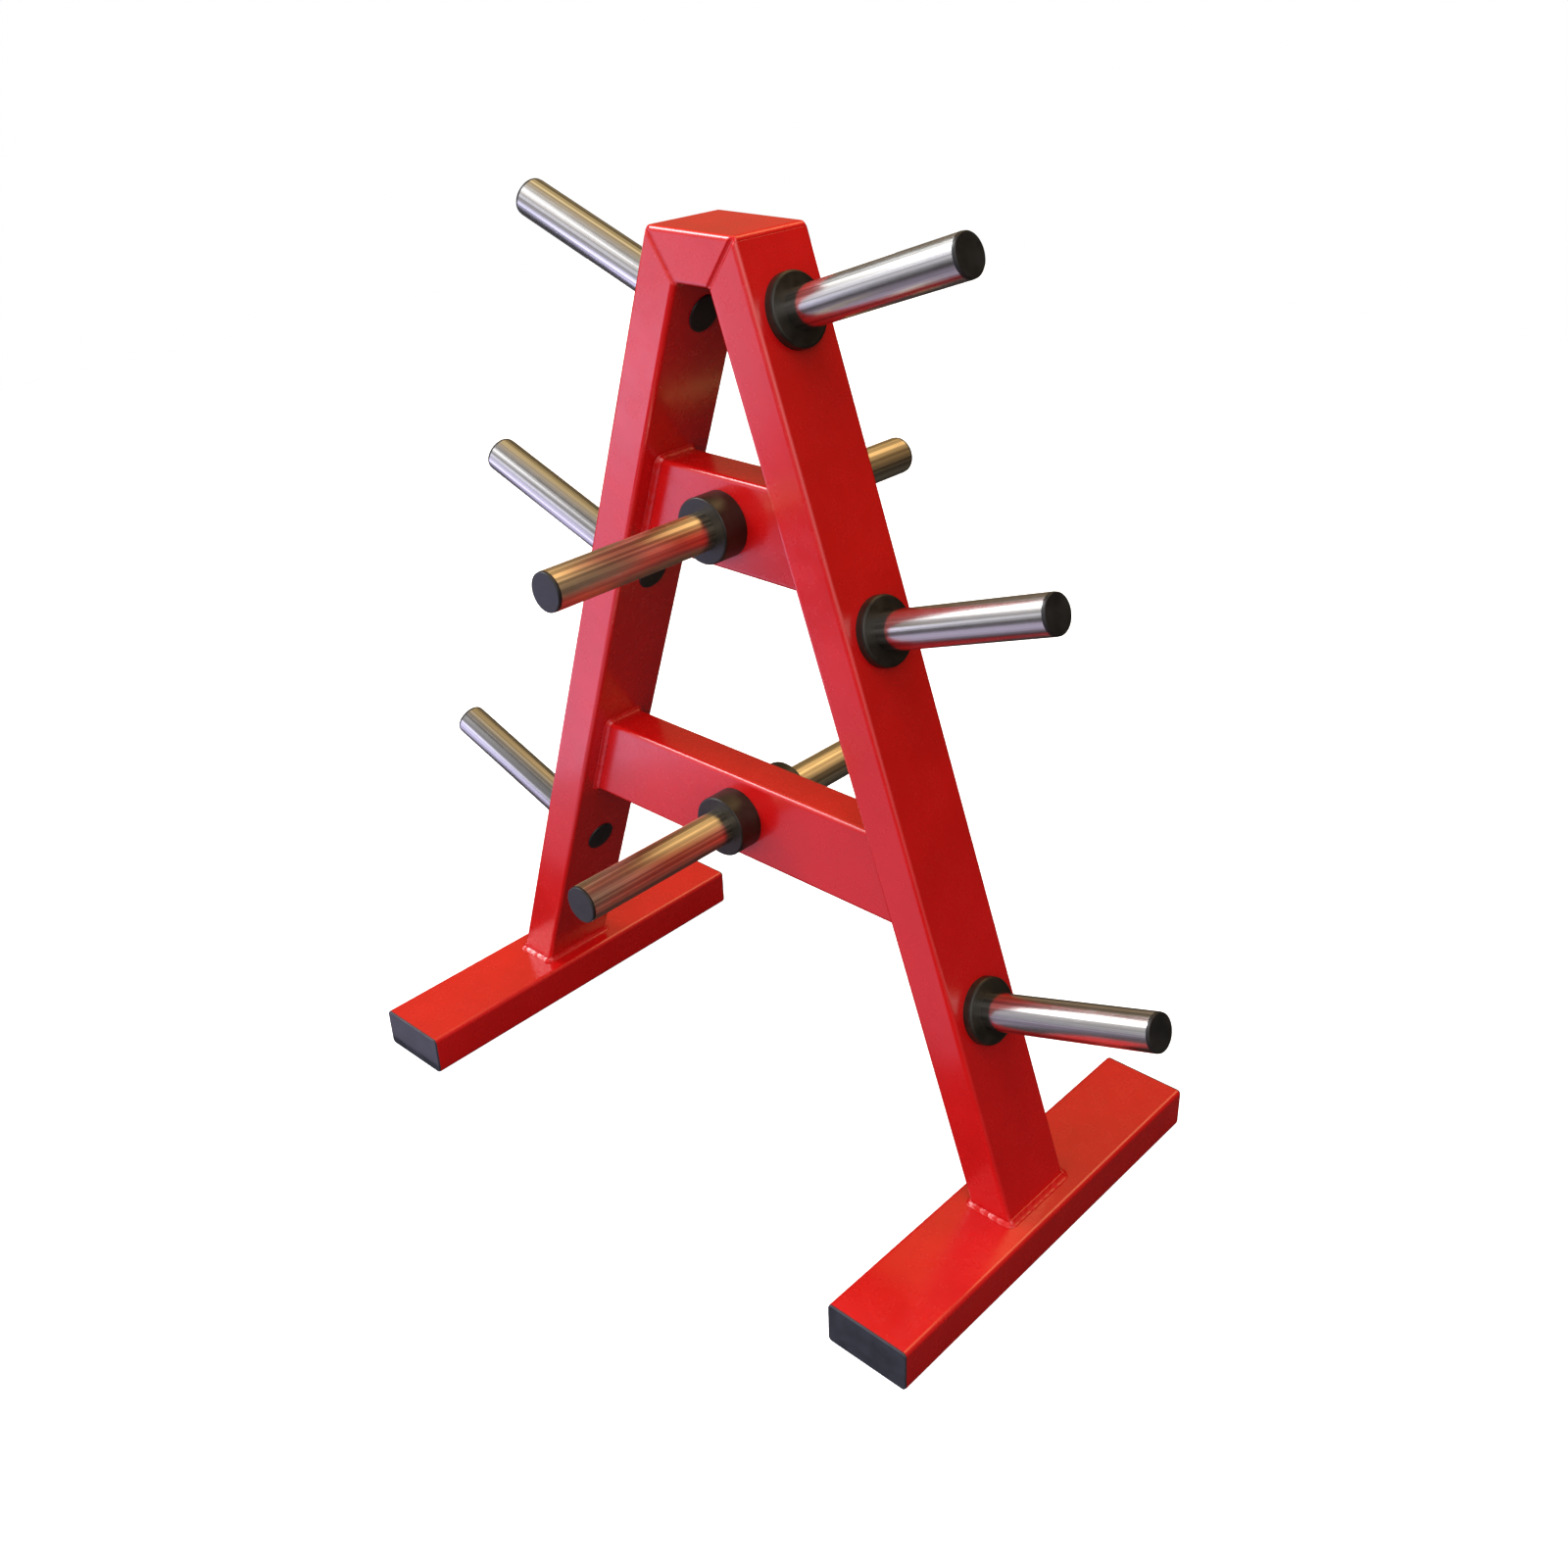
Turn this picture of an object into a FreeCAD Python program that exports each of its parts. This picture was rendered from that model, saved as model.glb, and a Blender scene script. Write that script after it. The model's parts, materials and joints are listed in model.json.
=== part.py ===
"""A-frame rack that stores weight plates on ten horns, as a parametric FreeCAD document.

Frame: millimetres, +Z up, the front faces -Y, and the origin is on the floor under the middle of the
rack. Two leaning legs stand on two flat feet that run front to back, a short bar joins the legs at the
top, and two beams cross between them. Three horns stand square to the outer face of each leg, and each
beam has one horn in front and one behind. The rack looks the same after half a turn about Z, so every
left piece is a right piece turned by 180 degrees, and every rear piece is a front piece turned likewise.

A horn is a bright sleeve over a stub tube that is welded into the frame. A rubber collar sits between
the frame and the sleeve, and a plastic plug closes each end of the stub.
"""
import FreeCAD, Part
import Sketcher
import math
import os

from FreeCAD import Placement, Rotation, Vector

# alias, value in mm (angles in degrees)
SIZES = (
    ("overall_height", 1220.0),
    ("leg_angle", 19.5),
    ("top_half", 69.0),
    ("foot_centre", 448.5),
    ("foot_length", 608.0),
    ("tube_wide", 120.0),
    ("tube_narrow", 60.0),
    ("tube_wall", 3.0),
    ("tube_corner", 6.0),
    ("upper_beam_centre", 876.0),
    ("lower_beam_centre", 467.0),
    ("top_horn_height", 1135.0),
    ("middle_horn_height", 784.5),
    ("low_horn_height", 318.5),
    ("sleeve_outer", 48.3),
    ("sleeve_inner", 42.5),
    ("sleeve_length", 238.0),
    ("stub_outer", 42.4),
    ("stub_inner", 36.0),
    ("leg_collar_outer", 86.0),
    ("leg_collar_thick", 12.0),
    ("leg_collar_round", 4.0),
    ("beam_collar_outer", 83.0),
    ("beam_collar_thick", 36.0),
    ("beam_collar_round", 2.5),
    ("collar_bore", 42.6),
    ("horn_plug_head", 47.6),
    ("inner_plug_head", 46.6),
    ("plug_head_thick", 4.0),
    ("inner_head_thick", 2.5),
    ("plug_head_round", 1.5),
    ("plug_depth", 22.0),
    ("plug_wall", 2.5),
    ("plug_slack", 0.1),
    ("cap_inset", 0.5),
    ("cap_flange", 3.0),
    ("cap_flange_round", 1.2),
    ("cap_depth", 24.0),
    ("cap_wall", 2.5),
    ("cap_slack", 0.2),
    ("cap_inner_corner", 0.5),
    ("mitre_gap", 5.4),
    ("mitre_recess", 1.4),
    ("mitre_round", 1.8),
    ("bead_radius", 5.0),
)

# driving expressions, all on the sheet's aliases
MITRE = "(45 + Sizes.leg_angle / 2)"
MITRE_SETBACK = f"(Sizes.mitre_gap / 2 / sin({MITRE}))"
LEG_LENGTH = "((Sizes.overall_height - Sizes.tube_narrow) / cos(Sizes.leg_angle))"
HALF_NARROW = "(Sizes.tube_narrow / 2)"
RIGHT = 0
LEFT = 180
FRONT = 0
REAR = 180
SIDES = (("left", LEFT), ("right", RIGHT))
ENDS = (("front", FRONT), ("rear", REAR))
LEG_HORNS = ("top", "middle", "low")
BEAMS = ("upper", "lower")
CUT_MARGIN = 20.0

doc = FreeCAD.newDocument("plate_rack")
sheet = doc.addObject("Spreadsheet::Sheet", "Sizes")
for row, (alias, value) in enumerate(SIZES, start=1):
    sheet.set(f"A{row}", alias)
    sheet.set(f"B{row}", str(value))
    sheet.setAlias(f"B{row}", alias)
doc.recompute()


def number(expression):
    """The value of an expression on the sheet, as a plain number."""
    return float(sheet.evalExpression(expression))


def size(alias):
    return number(f"Sizes.{alias}")


# ---------------------------------------------------------------- sketches and features


def new_body(label):
    body = doc.addObject("PartDesign::Body", label)
    body.Label = label
    return body


def sketch_on(body, role, name, offset=0.0):
    """A sketch on one of the body's own origin planes, moved along the plane's normal."""
    sketch = body.newObject("Sketcher::SketchObject", name)
    plane = next(f for f in body.Origin.OriginFeatures if f.Role == role)
    sketch.AttachmentSupport = [(plane, "")]
    sketch.MapMode = "FlatFace"
    sketch.AttachmentOffset = Placement(Vector(0, 0, offset), Rotation())
    return sketch


def bind_distance(sketch, kind, geometry, point, expression, name):
    """Ties a point's distance from the origin to an expression, whatever its sign."""
    value = number(expression)
    if abs(value) < 1e-9:
        axis = -2 if kind == "DistanceX" else -1
        sketch.addConstraint(Sketcher.Constraint("PointOnObject", geometry, point, axis))
        return
    if value > 0:
        constraint = Sketcher.Constraint(kind, -1, 1, geometry, point, value)
        bound = expression
    else:
        constraint = Sketcher.Constraint(kind, geometry, point, -1, 1, -value)
        bound = f"-({expression})"
    index = sketch.addConstraint(constraint)
    sketch.renameConstraint(index, name)
    sketch.setExpression(f"Constraints.{name}", bound)


def add_polygon(sketch, name, corners):
    """A closed polygon whose corners are pairs of expressions."""
    points = [Vector(number(across), number(up), 0) for across, up in corners]
    first = sketch.GeometryCount
    count = len(points)
    for i, point in enumerate(points):
        sketch.addGeometry(Part.LineSegment(point, points[(i + 1) % count]))
    for i in range(count):
        after = first + (i + 1) % count
        sketch.addConstraint(Sketcher.Constraint("Coincident", first + i, 2, after, 1))
    for i, (across, up) in enumerate(corners):
        bind_distance(sketch, "DistanceX", first + i, 1, across, f"{name}_x{i}")
        bind_distance(sketch, "DistanceY", first + i, 1, up, f"{name}_y{i}")


def add_rounded_rectangle(sketch, name, width, height, radius):
    """A centred rectangle with round corners, all three sizes being expressions."""
    half_w, half_h, r = number(width) / 2, number(height) / 2, number(radius)
    signs = ((1, -1), (1, 1), (-1, 1), (-1, -1))
    first = sketch.GeometryCount
    for i, (sx, sy) in enumerate(signs):
        centre = Vector(sx * (half_w - r), sy * (half_h - r), 0)
        circle = Part.Circle(centre, Vector(0, 0, 1), r)
        start = (i - 1) * math.pi / 2
        sketch.addGeometry(Part.ArcOfCircle(circle, start, start + math.pi / 2))
    arcs = [first + i for i in range(4)]
    for i, arc in enumerate(arcs):
        after = arcs[(i + 1) % 4]
        start = sketch.getPoint(arc, 2)
        end = sketch.getPoint(after, 1)
        line = sketch.addGeometry(Part.LineSegment(start, end))
        sketch.addConstraint(Sketcher.Constraint("Tangent", arc, 2, line, 1))
        sketch.addConstraint(Sketcher.Constraint("Tangent", line, 2, after, 1))
        kind = "Vertical" if i % 2 == 0 else "Horizontal"
        sketch.addConstraint(Sketcher.Constraint(kind, line))
    for arc in arcs[1:]:
        sketch.addConstraint(Sketcher.Constraint("Equal", arcs[0], arc))
    sketch.addConstraint(Sketcher.Constraint("Symmetric", arcs[0], 3, arcs[2], 3, -1, 1))
    bound = (
        ("width", Sketcher.Constraint("DistanceX", arcs[2], 2, arcs[0], 2, 2 * half_w), width),
        ("height", Sketcher.Constraint("DistanceY", arcs[0], 1, arcs[1], 2, 2 * half_h), height),
        ("radius", Sketcher.Constraint("Radius", arcs[0], r), radius),
    )
    for part, constraint, expression in bound:
        index = sketch.addConstraint(constraint)
        sketch.renameConstraint(index, f"{name}_{part}")
        sketch.setExpression(f"Constraints.{name}_{part}", expression)


def add_circle(sketch, name, diameter, up="0"):
    """A circle on the sketch's vertical axis, its diameter and height being expressions."""
    centre = Vector(0, number(up), 0)
    circle = sketch.addGeometry(Part.Circle(centre, Vector(0, 0, 1), number(diameter) / 2))
    sketch.addConstraint(Sketcher.Constraint("PointOnObject", circle, 3, -2))
    bind_distance(sketch, "DistanceY", circle, 3, up, f"{name}_up")
    index = sketch.addConstraint(Sketcher.Constraint("Diameter", circle, number(diameter)))
    sketch.renameConstraint(index, f"{name}_diameter")
    sketch.setExpression(f"Constraints.{name}_diameter", diameter)


def pad(body, name, sketch, length, symmetric=False, backwards=False):
    feature = body.newObject("PartDesign::Pad", name)
    feature.Profile = sketch
    feature.SideType = "Symmetric" if symmetric else "One side"
    feature.Reversed = backwards
    feature.setExpression("Length", length)
    doc.recompute()
    return feature


def pocket(body, name, sketch, length):
    """A cut to both sides of the sketch. It must take something away."""
    before = body.Shape.Volume
    feature = body.newObject("PartDesign::Pocket", name)
    feature.Profile = sketch
    feature.SideType = "Symmetric"
    feature.setExpression("Length", length)
    doc.recompute()
    if body.Shape.Volume > before - 1.0:
        raise RuntimeError(f"{body.Label}: {name} cuts nothing")
    return feature


def fillet_circles(body, feature, diameter, height, radius):
    """Rounds the feature's circular edges of one diameter at one height along Z."""
    names = []
    for i, edge in enumerate(feature.Shape.Edges, start=1):
        curve = edge.Curve
        if not isinstance(curve, Part.Circle):
            continue
        fits = abs(curve.Radius - number(diameter) / 2) < 1e-6
        if fits and abs(curve.Center.z - number(height)) < 1e-6:
            names.append(f"Edge{i}")
    fillet = body.newObject("PartDesign::Fillet", "rounding")
    fillet.Base = (feature, names)
    fillet.setExpression("Radius", radius)
    doc.recompute()
    return fillet


def fillet_rim(body, feature, height, radius):
    """Rounds every edge that lies wholly at one height along Z."""
    level = number(height)
    names = []
    for i, edge in enumerate(feature.Shape.Edges, start=1):
        if all(abs(vertex.Point.z - level) < 1e-6 for vertex in edge.Vertexes):
            names.append(f"Edge{i}")
    fillet = body.newObject("PartDesign::Fillet", "rounding")
    fillet.Base = (feature, names)
    fillet.setExpression("Radius", radius)
    doc.recompute()
    return fillet


def round_mitre_edges(body, feature, axis):
    """Rounds the outer outline of each mitred end face of a tube that runs along the axis."""
    slant = math.sin(math.radians(number(MITRE)))
    rims = []
    for face in feature.Shape.Faces:
        flat = isinstance(face.Surface, Part.Plane)
        if flat and abs(abs(face.normalAt(0, 0).dot(axis)) - slant) < 1e-6:
            rims += face.OuterWire.Edges
    names = []
    for i, edge in enumerate(feature.Shape.Edges, start=1):
        if any(edge.isSame(rim) for rim in rims):
            names.append(f"Edge{i}")
    fillet = body.newObject("PartDesign::Fillet", "mitre_rounding")
    fillet.Base = (feature, names)
    fillet.setExpression("Radius", "Sizes.mitre_round")
    doc.recompute()
    return fillet


# ---------------------------------------------------------------- placements


def turned(placement, angle):
    """The same placement after a turn about the rack's middle axis."""
    return Placement(Vector(), Rotation(Vector(0, 0, 1), angle)).multiply(placement)


def outer_face_x(height):
    """How far the right leg's outer face stands from the middle at a height."""
    drop = size("overall_height") - height
    return size("top_half") + drop * math.tan(math.radians(size("leg_angle")))


def inner_face_x(height):
    slant = math.cos(math.radians(size("leg_angle")))
    return outer_face_x(height) - size("tube_narrow") / slant


def leg_normal():
    angle = math.radians(size("leg_angle"))
    return Vector(math.cos(angle), 0, math.sin(angle))


def leg_placement():
    """The right leg's own frame: +Z up the leg, +X out of its outer face, level with that face's foot."""
    foot_top = size("tube_narrow")
    corner = Vector(outer_face_x(foot_top), 0, foot_top)
    base = corner - leg_normal() * (size("tube_narrow") / 2)
    return Placement(base, Rotation(Vector(0, 1, 0), -size("leg_angle")))


def leg_horn_placement(height, out):
    """On a right leg horn's axis, +Z outward, a distance out from the leg's outer face."""
    base = Vector(outer_face_x(height), 0, height) + leg_normal() * out
    return Placement(base, Rotation(Vector(0, 1, 0), 90 - size("leg_angle")))


def beam_horn_placement(height, out):
    """On a front beam horn's axis, +Z towards the front, a distance out from the beam's face."""
    base = Vector(0, -size("tube_narrow") / 2 - out, height)
    return Placement(base, Rotation(Vector(1, 0, 0), 90))


def facing_back(placement):
    """The same point with +Z the other way."""
    return placement.multiply(Placement(Vector(), Rotation(Vector(1, 0, 0), 180)))


# ---------------------------------------------------------------- welded frame


def tube_section(sketch, across, up):
    """The ring section of a rectangular tube."""
    add_rounded_rectangle(sketch, "outer", across, up, "Sizes.tube_corner")
    inner = "Sizes.tube_corner - Sizes.tube_wall"
    hollow = [f"{side} - 2 * Sizes.tube_wall" for side in (across, up)]
    add_rounded_rectangle(sketch, "inner", *hollow, inner)


def make_foot(side, turn):
    body = new_body(f"{side}_foot")
    section = sketch_on(body, "XZ_Plane", "section")
    tube_section(section, "Sizes.tube_wide", "Sizes.tube_narrow")
    pad(body, "tube", section, "Sizes.foot_length", symmetric=True)
    centre = Vector(size("foot_centre"), 0, size("tube_narrow") / 2)
    body.Placement = turned(Placement(centre, Rotation()), turn)
    return body


def make_leg(side, turn):
    body = new_body(f"{side}_leg")
    section = sketch_on(body, "XY_Plane", "section", -CUT_MARGIN)
    tube_section(section, "Sizes.tube_narrow", "Sizes.tube_wide")
    pad(body, "tube", section, f"{LEG_LENGTH} + {2 * CUT_MARGIN}")

    cuts = sketch_on(body, "XZ_Plane", "end_cuts")
    past = f"({HALF_NARROW} + {CUT_MARGIN})"
    rise = f"((Sizes.tube_narrow + {CUT_MARGIN}) * tan(Sizes.leg_angle))"
    dip = f"({CUT_MARGIN} * tan(Sizes.leg_angle))"
    below = f"-2 * {CUT_MARGIN}"
    foot_cut = ((past, f"-{dip}"), (f"-{past}", rise), (f"-{past}", below), (past, below))
    add_polygon(cuts, "foot", foot_cut)
    end = f"({LEG_LENGTH} - {MITRE_SETBACK})"
    over = f"({end} + {CUT_MARGIN} / tan({MITRE}))"
    under = f"({end} - (Sizes.tube_narrow + {CUT_MARGIN}) / tan({MITRE}))"
    above = f"({LEG_LENGTH} + 2 * {CUT_MARGIN})"
    mitre_cut = ((past, over), (past, above), (f"-{past}", above), (f"-{past}", under))
    add_polygon(cuts, "mitre", mitre_cut)
    pocket(body, "end_cut", cuts, "2 * Sizes.tube_wide")

    holes = sketch_on(body, "YZ_Plane", "stub_holes")
    for place in LEG_HORNS:
        along = f"(Sizes.{place}_horn_height - Sizes.tube_narrow) / cos(Sizes.leg_angle)"
        add_circle(holes, place, "Sizes.stub_outer", along)
    drilled = pocket(body, "stub_hole", holes, "2 * Sizes.tube_narrow")
    round_mitre_edges(body, drilled, Vector(0, 0, 1))
    body.Placement = turned(leg_placement(), turn)
    return body


def make_top_bar():
    body = new_body("top_bar")
    section = sketch_on(body, "YZ_Plane", "section")
    tube_section(section, "Sizes.tube_wide", "Sizes.tube_narrow")
    pad(body, "tube", section, f"2 * Sizes.top_half + 2 * {CUT_MARGIN}", symmetric=True)
    cuts = sketch_on(body, "XZ_Plane", "mitre_cuts")
    end = f"(Sizes.top_half - {MITRE_SETBACK})"
    far = f"(Sizes.top_half + 2 * {CUT_MARGIN})"
    past = f"({HALF_NARROW} + {CUT_MARGIN})"
    high = f"({end} + {CUT_MARGIN} / tan({MITRE}))"
    low = f"({end} - (Sizes.tube_narrow + {CUT_MARGIN}) / tan({MITRE}))"
    for name, sign in (("right", ""), ("left", "-")):
        corners = ((f"{sign}{low}", f"-{past}"), (f"{sign}{far}", f"-{past}"),
                   (f"{sign}{far}", past), (f"{sign}{high}", past))
        add_polygon(cuts, name, corners)
    mitred = pocket(body, "mitre_cut", cuts, "2 * Sizes.tube_wide")
    round_mitre_edges(body, mitred, Vector(1, 0, 0))
    height = size("overall_height") - size("tube_narrow") / 2
    body.Placement = Placement(Vector(0, 0, height), Rotation())
    return body


def beam_reach(level):
    """Half a beam's length at its centre line, from the middle to the leg's inner face."""
    drop = f"(Sizes.overall_height - Sizes.{level}_beam_centre) * tan(Sizes.leg_angle)"
    return f"(Sizes.top_half + {drop} - Sizes.tube_narrow / cos(Sizes.leg_angle))"


def make_beam(level):
    body = new_body(f"{level}_beam")
    section = sketch_on(body, "YZ_Plane", "section")
    tube_section(section, "Sizes.tube_narrow", "Sizes.tube_wide")
    reach = beam_reach(level)
    pad(body, "tube", section, f"2 * {reach} + 4 * {CUT_MARGIN}", symmetric=True)
    cuts = sketch_on(body, "XZ_Plane", "end_cuts")
    past = f"(Sizes.tube_wide / 2 + {CUT_MARGIN})"
    slope = f"({past} * tan(Sizes.leg_angle))"
    far = f"({reach} + 4 * {CUT_MARGIN})"
    for name, sign in (("right", ""), ("left", "-")):
        corners = ((f"{sign}({reach} + {slope})", f"-{past}"), (f"{sign}{far}", f"-{past}"),
                   (f"{sign}{far}", past), (f"{sign}({reach} - {slope})", past))
        add_polygon(cuts, name, corners)
    pocket(body, "end_cut", cuts, "2 * Sizes.tube_narrow")
    hole = sketch_on(body, "XZ_Plane", "stub_hole_circle")
    add_circle(hole, "stub", "Sizes.stub_outer")
    pocket(body, "stub_hole", hole, "2 * Sizes.tube_narrow")
    body.Placement = Placement(Vector(0, 0, size(f"{level}_beam_centre")), Rotation())
    return body


# ---------------------------------------------------------------- welds


def rounded_wire(width, height, radius):
    """A centred rectangle with round corners in the XY plane."""
    half_w, half_h = width / 2, height / 2
    corners = ((1, -1), (1, 1), (-1, 1), (-1, -1))
    arcs = []
    for i, (sx, sy) in enumerate(corners):
        centre = Vector(sx * (half_w - radius), sy * (half_h - radius), 0)
        arcs.append(Part.makeCircle(radius, centre, Vector(0, 0, 1), (i - 1) * 90, i * 90))
    edges = []
    for i, arc in enumerate(arcs):
        after = arcs[(i + 1) % len(arcs)]
        edges += [arc, Part.makeLine(arc.lastVertex().Point, after.firstVertex().Point)]
    return Part.Wire(edges)


def solid_bar(width, height, length):
    """The outside of a tube as one full solid along +Z, half of it each side of the origin."""
    face = Part.Face(rounded_wire(width, height, size("tube_corner")))
    bar = face.extrude(Vector(0, 0, length))
    bar.translate(Vector(0, 0, -length / 2))
    return bar


def bead_around(width, height, placement, neighbours):
    """A round bead along a rectangular outline, trimmed by the solids that it joins."""
    radius = size("bead_radius")
    outline = rounded_wire(width, height, size("tube_corner"))
    middle = outline.Edges[1]
    start = middle.valueAt(middle.FirstParameter)
    along = middle.tangentAt(middle.FirstParameter)
    circle = Part.Wire(Part.makeCircle(radius, start, along))
    bead = outline.makePipeShell([circle], True, True)
    bead.Placement = placement
    for neighbour in neighbours:
        bead = bead.cut(neighbour)
    return bead


def weld_group(label, beads):
    """Beads of one kind as separate solids in one sub-part."""
    feature = doc.addObject("Part::Feature", label)
    feature.Label = label
    feature.Shape = Part.makeCompound([solid for bead in beads for solid in bead.Solids])
    return feature


def leg_solid():
    length = number(LEG_LENGTH) * 2
    bar = solid_bar(size("tube_narrow"), size("tube_wide"), length)
    bar.Placement = leg_placement().multiply(bar.Placement)
    return bar


def half_turns(shape):
    """A shape for the right side, and the same shape turned to the left side."""
    other = shape.copy()
    other.rotate(Vector(), Vector(0, 0, 1), 180)
    return [shape, other]


def make_foot_welds():
    slant = math.cos(math.radians(size("leg_angle")))
    width = size("tube_narrow") / slant
    top = size("tube_narrow")
    centre = Vector(outer_face_x(top) - width / 2, 0, top)
    foot = Part.makeBox(size("tube_wide"), size("foot_length"), top)
    foot.translate(Vector(size("foot_centre") - size("tube_wide") / 2, -size("foot_length") / 2, 0))
    bead = bead_around(width, size("tube_wide"), Placement(centre, Rotation()), (foot, leg_solid()))
    return weld_group("foot_welds", half_turns(bead))


def make_beam_welds(level):
    slant = math.cos(math.radians(size("leg_angle")))
    height = size(f"{level}_beam_centre")
    along = size("tube_wide") / slant
    tilt = Rotation(Vector(0, 1, 0), 90 - size("leg_angle"))
    placement = Placement(Vector(inner_face_x(height), 0, height), tilt)
    beam = solid_bar(size("tube_narrow"), size("tube_wide"), 2 * inner_face_x(0))
    beam.Placement = Placement(Vector(0, 0, height), Rotation(Vector(1, 1, 1), 120))
    bead = bead_around(along, size("tube_narrow"), placement, (beam, leg_solid()))
    return weld_group(f"{level}_beam_welds", half_turns(bead))


def make_mitre_weld(side, turn):
    """The ring of weld metal in the gap between a leg and the top bar, set back from the faces."""
    body = new_body(f"{side}_mitre_weld")
    ring = sketch_on(body, "XY_Plane", "ring")
    stretch = f"sin({MITRE})"
    outer = [f"(Sizes.tube_narrow - 2 * Sizes.mitre_recess) / {stretch}",
             "Sizes.tube_wide - 2 * Sizes.mitre_recess", "Sizes.tube_corner"]
    inner = [f"(Sizes.tube_narrow - 2 * Sizes.tube_wall) / {stretch}",
             "Sizes.tube_wide - 2 * Sizes.tube_wall", "Sizes.tube_corner - Sizes.tube_wall"]
    add_rounded_rectangle(ring, "outer", *outer)
    add_rounded_rectangle(ring, "inner", *inner)
    pad(body, "bead", ring, "Sizes.mitre_gap", symmetric=True)
    half_drop = size("tube_narrow") / 2
    mitre = number(MITRE)
    middle = size("top_half") - half_drop / math.tan(math.radians(mitre))
    centre = Vector(middle, 0, size("overall_height") - half_drop)
    body.Placement = turned(Placement(centre, Rotation(Vector(0, 1, 0), -mitre)), turn)
    return body


def make_mitre_welds():
    group = doc.addObject("Part::Compound", "mitre_welds")
    group.Label = "mitre_welds"
    group.Links = [make_mitre_weld(side, turn) for side, turn in SIDES]
    return group


# ---------------------------------------------------------------- horns


def make_ring(label, outer, inner, length):
    """A round tube along +Z from the XY plane, its sizes being expressions."""
    body = new_body(label)
    ring = sketch_on(body, "XY_Plane", "ring")
    add_circle(ring, "outer", outer)
    add_circle(ring, "inner", inner)
    return body, pad(body, "tube", ring, length)


def make_sleeve(name, placement):
    body, _ = make_ring(f"{name}_sleeve", "Sizes.sleeve_outer", "Sizes.sleeve_inner", "Sizes.sleeve_length")
    body.Placement = placement
    return body


def make_stub(name, length, placement):
    body, _ = make_ring(f"{name}_stub", "Sizes.stub_outer", "Sizes.stub_inner", length)
    body.Placement = placement
    return body


def make_collar(name, kind, placement):
    outer = f"Sizes.{kind}_collar_outer"
    thick = f"Sizes.{kind}_collar_thick"
    body, tube = make_ring(f"{name}_collar", outer, "Sizes.collar_bore", thick)
    fillet_circles(body, tube, outer, thick, f"Sizes.{kind}_collar_round")
    body.Placement = placement
    return body


def make_plug(label, head, head_thick, placement):
    """A push-in plug: a round head outside, and a hollow barrel that grips the stub's bore."""
    body = new_body(label)
    disc = sketch_on(body, "XY_Plane", "head_circle")
    add_circle(disc, "head", head)
    cap = pad(body, "head", disc, head_thick)
    barrel = sketch_on(body, "XY_Plane", "barrel_ring")
    outside = "Sizes.stub_inner - 2 * Sizes.plug_slack"
    add_circle(barrel, "outer", outside)
    add_circle(barrel, "inner", f"{outside} - 2 * Sizes.plug_wall")
    shell = pad(body, "barrel", barrel, "Sizes.plug_depth", backwards=True)
    if shell.Shape.Volume <= cap.Shape.Volume:
        raise RuntimeError(f"{label}: the barrel adds nothing")
    fillet_circles(body, shell, head, head_thick, "Sizes.plug_head_round")
    body.Placement = placement
    return body


def make_leg_horn(side, turn, place):
    name = f"{side}_{place}"
    height = size(f"{place}_horn_height")
    thick = size("leg_collar_thick")
    tip = thick + size("sleeve_length")
    inner = -size("tube_narrow")
    length = "Sizes.tube_narrow + Sizes.leg_collar_thick + Sizes.sleeve_length"

    def at(out):
        return turned(leg_horn_placement(height, out), turn)

    return [
        make_stub(name, length, at(inner)),
        make_collar(name, "leg", at(0)),
        make_sleeve(name, at(thick)),
        make_plug(f"{name}_end_plug", "Sizes.horn_plug_head", "Sizes.plug_head_thick", at(tip)),
        make_plug(f"{name}_inner_plug", "Sizes.inner_plug_head", "Sizes.inner_head_thick",
                  facing_back(at(inner))),
    ]


def make_beam_horns(level):
    """One stub runs right through the beam and carries a front and a rear horn."""
    height = size(f"{level}_beam_centre")
    thick = size("beam_collar_thick")
    tip = thick + size("sleeve_length")
    length = "Sizes.tube_narrow + 2 * (Sizes.beam_collar_thick + Sizes.sleeve_length)"
    rear_end = -size("tube_narrow") - tip
    pieces = [make_stub(f"{level}_through", length, beam_horn_placement(height, rear_end))]
    for end, turn in ENDS:
        name = f"{end}_{level}"
        pieces += [
            make_collar(name, "beam", turned(beam_horn_placement(height, 0), turn)),
            make_sleeve(name, turned(beam_horn_placement(height, thick), turn)),
            make_plug(f"{name}_end_plug", "Sizes.horn_plug_head", "Sizes.plug_head_thick",
                      turned(beam_horn_placement(height, tip), turn)),
        ]
    return pieces


# ---------------------------------------------------------------- foot caps


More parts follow.
